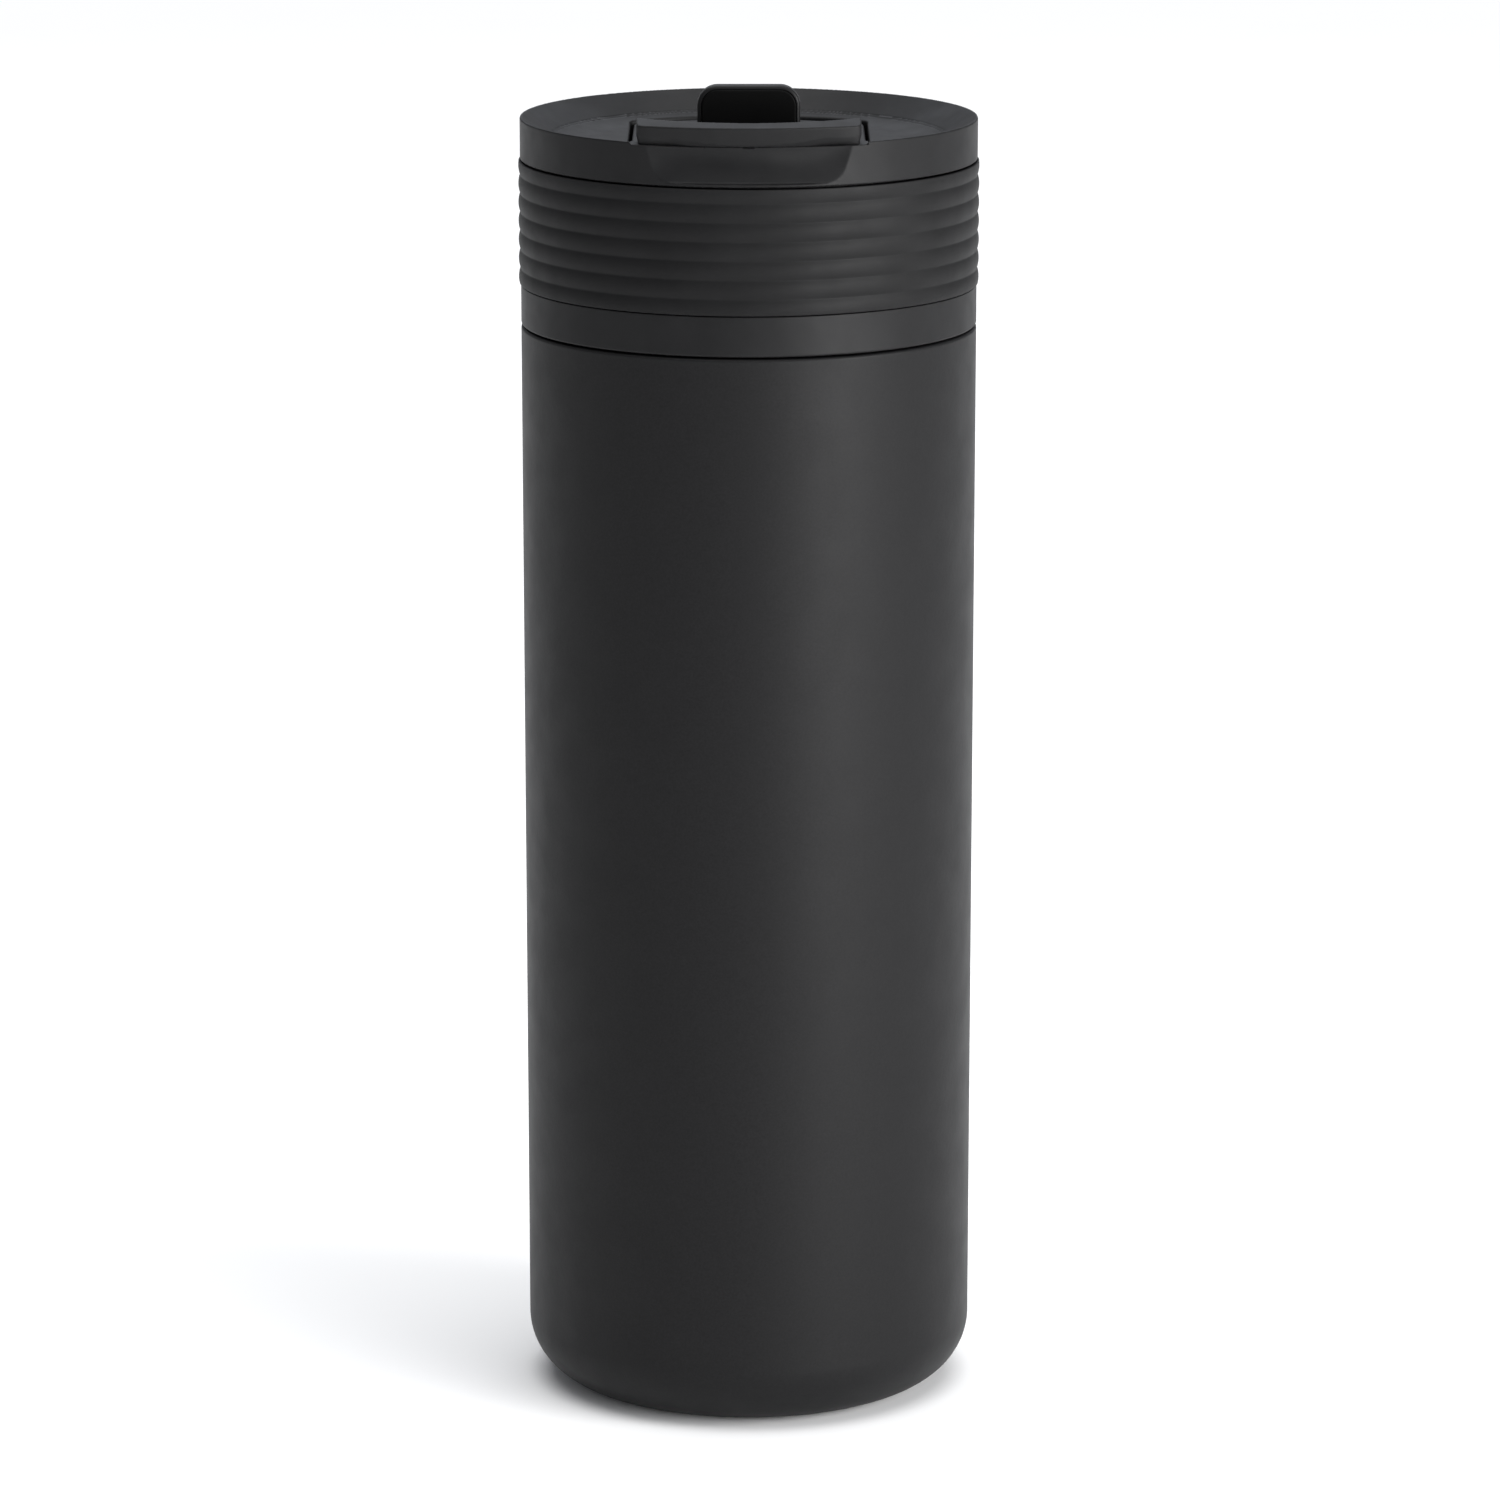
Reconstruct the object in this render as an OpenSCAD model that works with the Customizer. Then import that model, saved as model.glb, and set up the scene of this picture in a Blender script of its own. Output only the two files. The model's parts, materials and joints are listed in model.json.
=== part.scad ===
// Vacuum-insulated travel mug with a screw lid, a raised sipping lip and a flip stopper.
// Millimetres, +Z up. The origin is at the centre of the base and the sipping side faces -Y.

/* [Vessel] */
// Outer diameter of the steel body at its shoulder
body_d = 72.9; // [72.6:0.1:73]
// Outer diameter of the body just above its rounded foot
foot_d = 72.4; // [71.6:0.1:72.6]
// Height of the shoulder that the lid closes down on
shoulder_z = 174.9; // [120:0.1:220]
// Radius of the rounded foot
foot_round = 10.3; // [8:0.1:12]
// Thickness of the outer steel wall
shell_t = 0.6; // [0.5:0.05:0.7]
// Thickness of the inner steel wall
liner_t = 0.5; // [0.4:0.05:0.6]
// Outer diameter of the inner liner
liner_d = 66; // [65:0.1:66.4]
// Height of the liner's floor above the table
liner_floor_z = 8; // [7.5:0.1:10]

/* [Neck] */
// Outer diameter of the neck at the root of its thread
neck_d = 60.4; // [60.2:0.1:60.5]
// Inner diameter of the mouth
mouth_d = 56.2; // [56:0.1:56.2]
// Height of the neck above the shoulder, without its rolled lip
neck_h = 16.9; // [16:0.1:17.2]
// Rise of the thread in one turn
thread_lead = 8; // [7.5:0.1:8.5]
// Number of thread starts
thread_starts = 2; // [2:1:2]
// Height of each thread ridge
thread_depth = 1; // [0.8:0.05:1.1]

/* [Lid] */
// Height of the lid's rim above the shoulder
lid_h = 32.8; // [32.5:0.1:34]
// Outer diameter of the top ring
ring_d = 73; // [72.8:0.1:73.2]
// Height of the smooth collar under the grip
collar_h = 6.35; // [5:0.05:6.5]
// Height of the top ring's wall
ring_h = 6.05; // [5.5:0.05:6.5]
// Depth of the dished top below the rim
dish_depth = 3.7; // [3.2:0.1:4]
// Radius of the flat floor of the dish
dish_floor_r = 29.5; // [29:0.1:30]
// Half the width of the straight channel across the dish
channel_half_w = 19.25; // [19:0.05:19.6]

/* [Grip sleeve] */
// Number of ribs around the sleeve
rib_count = 7; // [7:1:7]
// Height of each rib above the grooves beside it
rib_rise = 0.28; // [0.2:0.02:0.34]
// Thickness of the sleeve at the ribs
sleeve_t = 1.8; // [1.6:0.05:1.85]

/* [Sipping lip] */
// Half the width of the lip at its base
lip_half_w = 18.35; // [17.5:0.05:18.5]
// Height of the lip's front edge above the rim
lip_rise = 3.05; // [2.5:0.05:3.5]
// How much higher the lip's back edge is than its front edge
lip_back_rise = 0.6; // [0.4:0.05:1]
// Depth of the scoop below the lip, for the drinker's lower lip
scoop_depth = 1.8; // [1:0.1:2]

/* [Flip stopper] */
// Width of the flap
flap_w = 16.2; // [14:0.1:16.2]
// Distance from the hinge to the tip of the flap
flap_reach = 11.6; // [11.2:0.1:12]
// Thickness of the flap's shell
flap_t = 2.85; // [2.6:0.05:3]
// Distance of the flap's hinge from the mug's axis
hinge_y = -15.5; // [-15.7:0.1:-15]
// Diameter of the hinge pin
pin_d = 2; // [1.8:0.1:2]
// Length of the sip hole across the mug
sip_w = 10; // [8:0.1:10]
// Width of the sip hole
sip_t = 3.8; // [3.2:0.1:3.8]

/* [Hidden] */
$fn = 128;
eps = 0.01;

// Heights that the rest of the mug hangs from
rim_z = shoulder_z + lid_h;
neck_top_z = shoulder_z + neck_h;
dish_z = rim_z - dish_depth;
ring_bottom_z = rim_z - ring_h;
collar_bottom_z = shoulder_z + 0.3;
collar_top_z = collar_bottom_z + collar_h;
deck_z = rim_z - 13.5;
deck_t = 2.2;
deck_top_z = deck_z + deck_t;
plug_bottom_z = deck_z - 10;

// Radii of the vessel
body_r = body_d / 2;
foot_r = foot_d / 2;
stand_r = foot_r - foot_round;
curl_r = stand_r - 1.9;
liner_r = liner_d / 2;
neck_r = neck_d / 2;
mouth_r = mouth_d / 2;
liner_seam_z = 26;
curl_top_z = 3;
getter_x = 14;

// Threads
thread_steps = 60;
thread_root_w = 2.2;
thread_crest_w = 1.0;

// Radii of the lid
collar_r = body_r;
ring_r = ring_d / 2;
skirt_r = neck_r + 1.7;
barrel_r = 34.95;
sleeve_r = barrel_r + 0.05;
plug_r = mouth_r - 0.8;
plug_bore_r = plug_r - 2.4;
gasket_z = plug_bottom_z + 5.3;
gasket_h = 3;
ring_bore_r = 32.4;

// Grip ribs: each is a torus whose section is a circle through its two grooves
sleeve_bottom_z = collar_top_z + 0.15;
sleeve_top_z = ring_bottom_z - 0.25;
rib_pitch = 2.985;
rib_first_z = sleeve_bottom_z + 1.0;
rib_arc_r = rib_pitch * rib_pitch / (8 * rib_rise) + rib_rise / 2;
rib_peak_r = sleeve_r + sleeve_t - 0.02;

// Sipping lip
lip_top_half_w = lip_half_w - 0.9;
lip_corner_r = 2.5;
lip_gap = 0.3;
lip_z = rim_z + 0.05;
lip_seat_y = 20;
lip_front_z = rim_z + lip_rise;
lip_back_z = lip_front_z + lip_back_rise;
lip_back_r = 33;
riser_back_r = 30.8;
notch_z = rim_z;
lip_arc_y = 8.5;
lip_arc_r = 44;
lip_undercut = 0.8;
lip_t = 2.35;
scoop_top_half_w = 15.9;
scoop_low_half_w = 13.8;
insert_half_w = channel_half_w - 0.55;
insert_t = 2.35;
insert_bottom_z = dish_z - insert_t;

// Flap, measured from its hinge: u is towards the back, v is upwards when the flap is open
hinge_z = dish_z - 0.8;
knuckle_r = 2.4;
pin_r = pin_d / 2;
flap_front_u = 1.15;
flap_back_u = flap_front_u + flap_t;
seal_u = 0.9;
flap_corner_r = 3.2;
ear_gap = 0.25;
ear_t = 2.9;
pin_l = flap_w + 2 * (ear_gap + ear_t) - 0.8;
seal_margin = 0.7;
seal_v0 = 2.9;
sip_y = hinge_y - 5;
sip_r = sip_t / 2;
sip_l = sip_w - sip_t;
vent_y = 9;
vent_r = 1;

// Points along an arc round c, from angle a0 to angle a1
function arc(c, r, a0, a1, n = 10) =
    [for (i = [0:n]) let (a = a0 + (a1 - a0) * i / n) c + r * [cos(a), sin(a)]];

// ---------- Shared shapes ----------

// A ring whose section is a rectangle
module band(r_in, r_out, z0, z1) {
    rotate_extrude()
        translate([r_in, z0])
            square([r_out - r_in, z1 - z0]);
}

// A slot with round ends, along X
module slot_2d(l, r) {
    square([l, 2 * r], center = true);
    for (side = [-1, 1])
        translate([side * l / 2, 0])
            circle(r, $fn = 48);
}

// A slot-shaped post over the sip hole
module sip_post(r, z0, z1) {
    translate([0, sip_y, z0])
        linear_extrude(z1 - z0)
            slot_2d(sip_l, r);
}

// A round post over the vent hole
module vent_post(r, z0, z1) {
    translate([0, vent_y, z0])
        cylinder(r = r, h = z1 - z0, $fn = 48);
}

// The half of the plane on the sipping side, from some distance off the axis
module front_half_2d(from = 0) {
    translate([-ring_r, -2 * ring_r - from])
        square(2 * ring_r);
}

// The straight channel seen from above, with its back end and its longer front end
module channel_2d(half_w, back_r, front_r) {
    intersection() {
        square([2 * half_w, 2 * ring_r], center = true);
        union() {
            circle(back_r);
            intersection() {
                circle(front_r);
                front_half_2d();
            }
        }
    }
}

// One helical ridge: r_root is on the wall that carries it, r_crest is its free edge
function ridge_point(r, a, z) = [r * cos(a), r * sin(a), z];
function ridge_ring(r_root, r_crest, z0, a0, turns, i) =
    let (t = i / thread_steps,
         a = a0 + 360 * turns * t,
         z = z0 + thread_lead * turns * t,
         fade = min(1, 8 * t + 0.08, 8 * (1 - t) + 0.08),
         crest = r_root + (r_crest - r_root) * fade,
         wr = thread_root_w / 2 * (0.5 + 0.5 * fade),
         wc = thread_crest_w / 2 * (0.5 + 0.5 * fade))
    [ridge_point(r_root, a, z - wr), ridge_point(crest, a, z - wc),
     ridge_point(crest, a, z + wc), ridge_point(r_root, a, z + wr)];
module thread_ridge(r_root, r_crest, z0, a0, turns) {
    points = [for (i = [0:thread_steps]) each ridge_ring(r_root, r_crest, z0, a0, turns, i)];
    outward = r_crest > r_root;
    sides = [for (i = [0:thread_steps - 1], j = [0:3])
        let (a = 4 * i + j, b = 4 * i + (j + 1) % 4)
        outward ? [a, b, b + 4, a + 4] : [a, a + 4, b + 4, b]];
    last = 4 * thread_steps;
    ends = outward
        ? [[3, 2, 1, 0], [last, last + 1, last + 2, last + 3]]
        : [[0, 1, 2, 3], [last + 3, last + 2, last + 1, last]];
    polyhedron(points, concat(sides, ends), convexity = 6);
}

// ---------- Vessel ----------

// Powder-coated outer wall, from the curled foot to the threaded neck
module outer_shell() {
    fillet = 0.5;
    neck_fillet = 0.8;
    color([0.16, 0.16, 0.17]) {
        rotate_extrude()
            polygon(concat(
                [[curl_r, curl_top_z], [curl_r, 0.3], [curl_r + 0.3, 0]],
                arc([stand_r, foot_round], foot_round, -90, 0, 16),
                arc([body_r - fillet, shoulder_z - fillet], fillet, 0, 90, 6),
                arc([neck_r + neck_fillet, shoulder_z + neck_fillet], neck_fillet, 270, 180, 6),
                [[neck_r, neck_top_z], [neck_r - shell_t, neck_top_z]],
                arc([neck_r + neck_fillet, shoulder_z + neck_fillet], neck_fillet + shell_t, 180, 270, 6),
                arc([body_r - fillet - shell_t, shoulder_z - fillet - shell_t], fillet, 90, 0, 4),
                arc([stand_r, foot_round], foot_round - shell_t, 0, -90, 16),
                [[curl_r + shell_t, shell_t], [curl_r + shell_t, curl_top_z]]
            ));
        for (s = [0:thread_starts - 1])
            thread_ridge(neck_r - 0.1, neck_r + thread_depth, shoulder_z + 7.2,
                s * 360 / thread_starts, 0.75);
    }
}

// Stamped disc that closes the vacuum space, with the dimple for evacuation
module outer_base() {
    r = curl_r - 0.05;
    color([0.72, 0.72, 0.74])
        rotate_extrude()
            polygon([[1.5, 3], [4.6, 3], [5.4, 2.2], [r, 2.2],
                [r, 2.8], [5.7, 2.8], [4.9, 3.6], [1.5, 3.6]]);
}

// Cover pressed into the foot, which hides the evacuation seal
module base_cap() {
    r = curl_r - 0.05;
    color([0.2, 0.2, 0.21])
        rotate_extrude()
            polygon([[0, 0.9], [r - 4, 0.9], [r - 3.6, 0.6], [r - 0.3, 0.6], [r, 0.9], [r, 2.15],
                [r - 0.6, 2.15], [r - 0.6, 1.2], [r - 3.4, 1.2], [r - 3.8, 1.5], [0, 1.5]]);
}

// Bead of solder glass that seals the evacuation hole
module vacuum_seal() {
    color([0.45, 0.6, 0.55])
        rotate_extrude()
            polygon([[0, 2.25], [2.6, 2.4], [3.6, 2.98], [1.45, 2.98], [1.45, 3.6], [0, 3.7]]);
}

// Getter tablet, which keeps the vacuum hard
module getter() {
    color([0.5, 0.5, 0.48])
        translate([getter_x, 0, 5.3])
            cylinder(r = 4, h = 2.2, $fn = 64);
}

// Strap that holds the getter to the liner's floor
module getter_strap() {
    end_x = 9;
    strap_t = 0.25;
    top = liner_floor_z - 0.05;
    low = 5.25 - strap_t;
    color([0.8, 0.8, 0.78])
        translate([getter_x, 2.5, 0])
            rotate([90, 0, 0])
                linear_extrude(5)
                    polygon([
                        [-end_x, top], [-4.5, top], [-4.2, low + strap_t], [4.2, low + strap_t],
                        [4.5, top], [end_x, top], [end_x, top - strap_t], [4.75, top - strap_t],
                        [4.45, low], [-4.45, low], [-4.75, top - strap_t], [-end_x, top - strap_t]]);
}

// Foil wrapped round the liner, which reflects heat across the vacuum
module radiation_foil() {
    color([0.78, 0.5, 0.36])
        band(liner_r + 0.5, liner_r + 0.65, liner_floor_z + 12, shoulder_z - 12);
}

// Inner wall, from the weld above its floor to the rolled lip of the mouth
module inner_liner() {
    bend = 4;
    bend_z = shoulder_z - 9.9;
    bend_r = liner_r - liner_t - bend;
    knee = 60;
    sweep = 2 * (bend_r + bend * cos(knee) - mouth_r);
    sweep_c = [bend_r + (bend + sweep) * cos(knee), bend_z + (bend + sweep) * sin(knee)];
    lip_r = (neck_r - mouth_r) / 2;
    color([0.75, 0.75, 0.77])
        rotate_extrude()
            polygon(concat(
                [[liner_r - liner_t, liner_seam_z]],
                arc([bend_r, bend_z], bend, 0, knee, 10),
                arc(sweep_c, sweep, 180 + knee, 180, 10),
                arc([mouth_r + lip_r, neck_top_z], lip_r, 180, 0, 12),
                [[mouth_r + liner_t, neck_top_z]],
                arc(sweep_c, sweep - liner_t, 180, 180 + knee, 10),
                arc([bend_r, bend_z], bend + liner_t, knee, 0, 10),
                [[liner_r, liner_seam_z]]
            ));
}

// Deep-drawn floor of the liner
module liner_bottom() {
    bend = 10;
    c = [liner_r - bend, liner_floor_z + bend];
    color([0.75, 0.75, 0.77])
        rotate_extrude()
            polygon(concat(
                [[0, liner_floor_z]],
                arc(c, bend, -90, 0, 12),
                [[liner_r, liner_seam_z], [liner_r - liner_t, liner_seam_z]],
                arc(c, bend - liner_t, 0, -90, 12),
                [[0, liner_floor_z + liner_t]]
            ));
}

// ---------- Lid ----------

// Threaded lid body: collar, skirt behind the grip, deck, hollow plug and the tubes through it
module lid_body() {
    fillet = 0.35;
    socket_top_z = deck_top_z + 2.8;
    barrel_top_z = ring_bottom_z - 0.05;
    rail_w = 1.4;
    color([0.15, 0.15, 0.16]) {
        difference() {
            union() {
                rotate_extrude()
                    polygon(concat(
                        [[skirt_r + 0.5, collar_bottom_z]],
                        arc([collar_r - fillet, collar_bottom_z + fillet], fillet, -90, 0, 6),
                        arc([collar_r - 0.15, collar_top_z - 0.15], 0.15, 0, 90, 3),
                        [[barrel_r, collar_top_z], [barrel_r, barrel_top_z], [skirt_r, barrel_top_z],
                         [skirt_r, collar_bottom_z + 1]]
                    ));
                translate([0, 0, deck_z])
                    cylinder(r = skirt_r + 1, h = deck_t);
                band(plug_bore_r, plug_r, plug_bottom_z, deck_z + eps);
                sip_post(sip_r + 1.4, plug_bottom_z, deck_z + eps);
                sip_post(sip_r + 2.65, deck_top_z - eps, socket_top_z);
                vent_post(4.4, deck_z - 2.5, deck_z + eps);
                vent_post(2.6, plug_bottom_z, deck_z);
                for (side = [-1, 1])
                    translate([side * 20.7 - rail_w / 2, -15, deck_top_z - eps])
                        cube([rail_w, 30, insert_bottom_z - 1.0 - deck_top_z]);
            }
            band(plug_r - 1, plug_r + 1, gasket_z - gasket_h / 2, gasket_z + gasket_h / 2);
            sip_post(sip_r, plug_bottom_z - 1, deck_top_z + 4);
            sip_post(sip_r + 1.25, deck_top_z, socket_top_z + 1);
            vent_post(1.3, plug_bottom_z - 1, deck_top_z + 1);
            vent_post(3.2, deck_top_z - 1.2, deck_top_z + 1);
        }
        for (s = [0:thread_starts - 1])
            thread_ridge(skirt_r + 0.1, skirt_r - thread_depth - 0.25, shoulder_z + 5.2,
                s * 360 / thread_starts, 0.6);
    }
}

// Cap welded into the bottom of the plug
module plug_cap() {
    round_r = 1.2;
    color([0.15, 0.15, 0.16])
        difference() {
            union() {
                rotate_extrude()
                    polygon(concat(
                        [[0, plug_bottom_z - 2]],
                        arc([plug_r - round_r, plug_bottom_z - 2 + round_r], round_r, -90, 0, 8),
                        [[plug_r, plug_bottom_z - 0.02], [0, plug_bottom_z - 0.02]]
                    ));
                band(plug_bore_r - 1.3, plug_bore_r - 0.1, plug_bottom_z - 0.1, plug_bottom_z + 2.5);
            }
            sip_post(sip_r + 1.5, plug_bottom_z - 0.02, plug_bottom_z + 5);
            sip_post(sip_r, plug_bottom_z - 5, plug_bottom_z + 5);
            vent_post(1.3, plug_bottom_z - 5, plug_bottom_z + 5);
        }
}

// Disc of foam that insulates the plug
module lid_foam() {
    color([0.9, 0.9, 0.88])
        difference() {
            translate([0, 0, plug_bottom_z + 0.2])
                cylinder(r = plug_bore_r - 1.5, h = deck_z - plug_bottom_z - 0.4);
            sip_post(sip_r + 1.6, plug_bottom_z - 1, deck_z + 1);
            vent_post(4.6, deck_z - 2.7, deck_z + 1);
            vent_post(2.8, plug_bottom_z - 1, deck_z);
        }
}

// Two-lipped silicone ring in the plug's groove, which seals against the mouth
module plug_gasket() {
    root_r = plug_r - 0.95;
    tip_r = mouth_r - 0.06;
    half = gasket_h / 2 - 0.15;
    color([0.55, 0.55, 0.56])
        rotate_extrude()
            translate([0, gasket_z])
                polygon([
                    [root_r, -half], [plug_r + 0.1, -half], [tip_r, -half + 0.45],
                    [tip_r, -half + 0.75], [plug_r + 0.2, 0], [tip_r, half - 0.75],
                    [tip_r, half - 0.45], [plug_r + 0.1, half], [root_r, half]]);
}

// Ribbed rubber sleeve round the lid
module grip_sleeve() {
    color([0.13, 0.13, 0.14])
        rotate_extrude()
            intersection() {
                translate([sleeve_r, sleeve_bottom_z])
                    square([sleeve_t + 1, sleeve_top_z - sleeve_bottom_z]);
                for (i = [0:rib_count - 1])
                    translate([rib_peak_r - rib_arc_r, rib_first_z + i * rib_pitch])
                        circle(rib_arc_r);
            }
}

// Outline of the lip seen from above, grown by a clearance
module lip_outline_2d(grow) {
    corner_r = lip_corner_r + grow;
    corner_x = lip_half_w - lip_corner_r;
    corner_y = -sqrt(pow(ring_r - lip_corner_r, 2) - corner_x * corner_x);
    reach = 1.4;
    translate([-lip_half_w - grow, corner_y])
        square([2 * (lip_half_w + grow), -corner_y]);
    polygon([[0, 0], [-corner_x * reach, corner_y * reach], [corner_x * reach, corner_y * reach]]);
    for (side = [-1, 1])
        translate([side * corner_x, corner_y])
            circle(corner_r, $fn = 64);
}

// Face of the scoop seen from the front: a trapezoid with round lower corners
module scoop_outline_2d() {
    corner = 2;
    corner_x = scoop_low_half_w - corner + 0.1;
    low_z = ring_bottom_z + 0.3;
    polygon(concat(
        [[-scoop_top_half_w - 0.8, rim_z + 2], [-scoop_top_half_w, rim_z]],
        arc([-corner_x, low_z + corner], corner, 198, 270, 6),
        arc([corner_x, low_z + corner], corner, 270, 342, 6),
        [[scoop_top_half_w, rim_z], [scoop_top_half_w + 0.8, rim_z + 2]]
    ));
}

// Hollow under the lip, deepest in its upper half
module scoop() {
    low_z = ring_bottom_z + 0.2;
    span = ring_h + 0.3;
    intersection() {
        rotate_extrude()
            polygon(concat(
                [[ring_r + 3, ring_bottom_z - 1], [ring_r - 0.4, ring_bottom_z - 1]],
                [for (t = [0:0.125:1])
                    [ring_r - scoop_depth * (0.3 + 0.75 * sin(120 * t)), low_z + t * span]],
                [[ring_r + 3, rim_z + 0.8]]
            ));
        rotate([90, 0, 0])
            linear_extrude(50)
                scoop_outline_2d();
    }
}

// Dished top ring, cut by the straight channel, the lip's seat and the scoop
module lid_ring() {
    rim_fillet = 0.4;
    spigot_z = ring_bottom_z - 3;
    color([0.17, 0.17, 0.18])
        difference() {
            union() {
                rotate_extrude()
                    polygon(concat(
                        [[0, dish_z - 2], [skirt_r - 1, dish_z - 2], [skirt_r - 1, spigot_z],
                         [skirt_r - 0.1, spigot_z], [skirt_r - 0.1, ring_bottom_z]],
                        arc([ring_r - rim_fillet, ring_bottom_z + rim_fillet], rim_fillet, -90, 0, 6),
                        arc([ring_r - rim_fillet, rim_z], rim_fillet, 0, 100, 6),
                        [[dish_floor_r, dish_z], [0, dish_z]]
                    ));
                // Seat that fills the dish under the lip
                translate([0, 0, dish_z - 1])
                    linear_extrude(notch_z - dish_z + 1.2)
                        intersection() {
                            lip_outline_2d(lip_gap);
                            front_half_2d(lip_seat_y);
                            circle(ring_r - 0.6);
                        }
            }
            translate([0, 0, spigot_z - 1])
                linear_extrude(rim_z - spigot_z + 4)
                    channel_2d(channel_half_w, dish_floor_r, ring_bore_r);
            translate([0, 0, notch_z])
                linear_extrude(5)
                    intersection() {
                        lip_outline_2d(lip_gap);
                        front_half_2d(lip_seat_y);
                    }
            scoop();
        }
}

// The lip seen from the front: upright at its foot, then narrowing to its top edge
module lip_front_2d() {
    foot_z = rim_z + 0.6;
    top_z = lip_back_z + 0.1;
    polygon([
        [-lip_half_w, insert_bottom_z], [-lip_half_w, foot_z], [-lip_top_half_w, top_z],
        [lip_top_half_w, top_z], [lip_half_w, foot_z], [lip_half_w, insert_bottom_z]]);
}

// Body whose front and top are those of the lip. Its front is flatter than the ring's wall.
module lip_face() {
    slope = lip_back_rise / lip_t;
    translate([0, lip_arc_y, 0])
        rotate_extrude($fn = 256)
            polygon([
                [0, insert_bottom_z - 1], [lip_arc_r - lip_undercut, insert_bottom_z - 1],
                [lip_arc_r - lip_undercut, lip_z], [lip_arc_r, lip_front_z],
                [0, lip_front_z + slope * lip_arc_r]]);
}

// Drinking insert: channel plate, sipping lip, sip tube and the hinge's ears
module spout_insert() {
    riser_r = ring_bore_r - 0.2;
    ear_inner = flap_w / 2 + ear_gap;
    ear_outer = ear_inner + ear_t;
    block_h = 3.6;
    ledge_x = 20.1;
    ledge_w = 3.6;
    color([0.17, 0.17, 0.18])
        difference() {
            union() {
                // Plate along the channel
                translate([0, 0, insert_bottom_z])
                    linear_extrude(insert_t)
                        channel_2d(insert_half_w, dish_floor_r - 0.4, riser_r);
                // Ledges that the top ring holds down
                for (side = [-1, 1])
                    translate([side * ledge_x - ledge_w / 2, -15, insert_bottom_z - 0.9])
                        cube([ledge_w, 30, 1.2]);
                // Lip and the riser behind it
                intersection() {
                    rotate_extrude()
                        polygon([
                            [riser_r, insert_bottom_z], [riser_r, lip_z], [ring_r - scoop_depth, lip_z],
                            [ring_r, lip_front_z], [ring_r, lip_back_z + 1],
                            [lip_back_r, lip_back_z + 1], [lip_back_r, lip_back_z],
                            [riser_back_r, rim_z], [riser_back_r, insert_bottom_z]]);
                    translate([0, 0, insert_bottom_z])
                        linear_extrude(20)
                            intersection() {
                                lip_outline_2d(0);
                                front_half_2d(lip_seat_y);
                            }
                    lip_face();
                    rotate([90, 0, 0])
                        linear_extrude(50)
                            lip_front_2d();
                }
                // Sip tube
                sip_post(sip_r + 1.1, deck_top_z + 0.8, insert_bottom_z + eps);
                // Vent boss
                vent_post(2.5, deck_top_z + 0.9, insert_bottom_z + eps);
                // Hinge ears and the block under the knuckle
                translate([-ear_outer, hinge_y - block_h, hinge_z - block_h])
                    cube([2 * ear_outer, 2 * block_h, block_h]);
                translate([-ear_outer, hinge_y, hinge_z])
                    rotate([0, 90, 0])
                        cylinder(r = knuckle_r, h = 2 * ear_outer, $fn = 64);
            }
            // Pocket for the flap's knuckle
            translate([-ear_inner, hinge_y, hinge_z])
                rotate([0, 90, 0])
                    cylinder(r = knuckle_r + 0.35, h = 2 * ear_inner, $fn = 64);
            // Bore for the pin
            translate([-pin_l / 2 - 0.02, hinge_y, hinge_z])
                rotate([0, 90, 0])
                    cylinder(r = pin_r + 0.02, h = pin_l / 2 + ear_outer + 0.1, $fn = 48);
            sip_post(sip_r, deck_top_z, dish_z + 1);
            vent_post(vent_r, deck_top_z, dish_z + 1);
        }
}

// Silicone ring that seals the sip tube to the lid body
module spout_gasket() {
    color([0.55, 0.55, 0.56])
        difference() {
            sip_post(sip_r + 1.15, deck_top_z + 0.02, deck_top_z + 0.78);
            sip_post(sip_r + 0.1, deck_top_z - 1, deck_top_z + 2);
        }
}

// One-way duckbill valve that lets air in while drinking
module vent_valve() {
    color([0.55, 0.55, 0.56])
        translate([0, vent_y, 0])
            rotate_extrude($fn = 64)
                polygon([[0.5, deck_top_z - 0.05], [3.05, deck_top_z - 0.05], [3.05, deck_top_z - 1.15],
                    [1.2, deck_top_z - 1.15], [1.2, deck_z - 1], [0.6, deck_z - 3.5], [0.3, deck_z - 3.5],
                    [0.5, deck_z - 1]]);
}

// Stainless pin of the flap's hinge
module hinge_pin() {
    color([0.8, 0.8, 0.82])
        translate([-pin_l / 2, hinge_y, hinge_z])
            rotate([0, 90, 0])
                cylinder(r = pin_r, h = pin_l, $fn = 48);
}

// Outline of the flap or of its seal, seen from the front
module flap_outline_2d(half_w, v0, v1, r) {
    translate([0, (v0 + v1 - r) / 2])
        square([2 * half_w, v1 - v0 - r], center = true);
    translate([0, v1 - r])
        square([2 * (half_w - r), 2 * r], center = true);
    for (side = [-1, 1])
        translate([side * (half_w - r), v1 - r])
            circle(r, $fn = 64);
}

// Slab of that outline, between two distances behind the hinge
module flap_slab(half_w, v0, v1, r, u0, u1) {
    translate([0, hinge_y + u1, hinge_z])
        rotate([90, 0, 0])
            linear_extrude(u1 - u0)
                flap_outline_2d(half_w, v0, v1, r);
}

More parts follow.
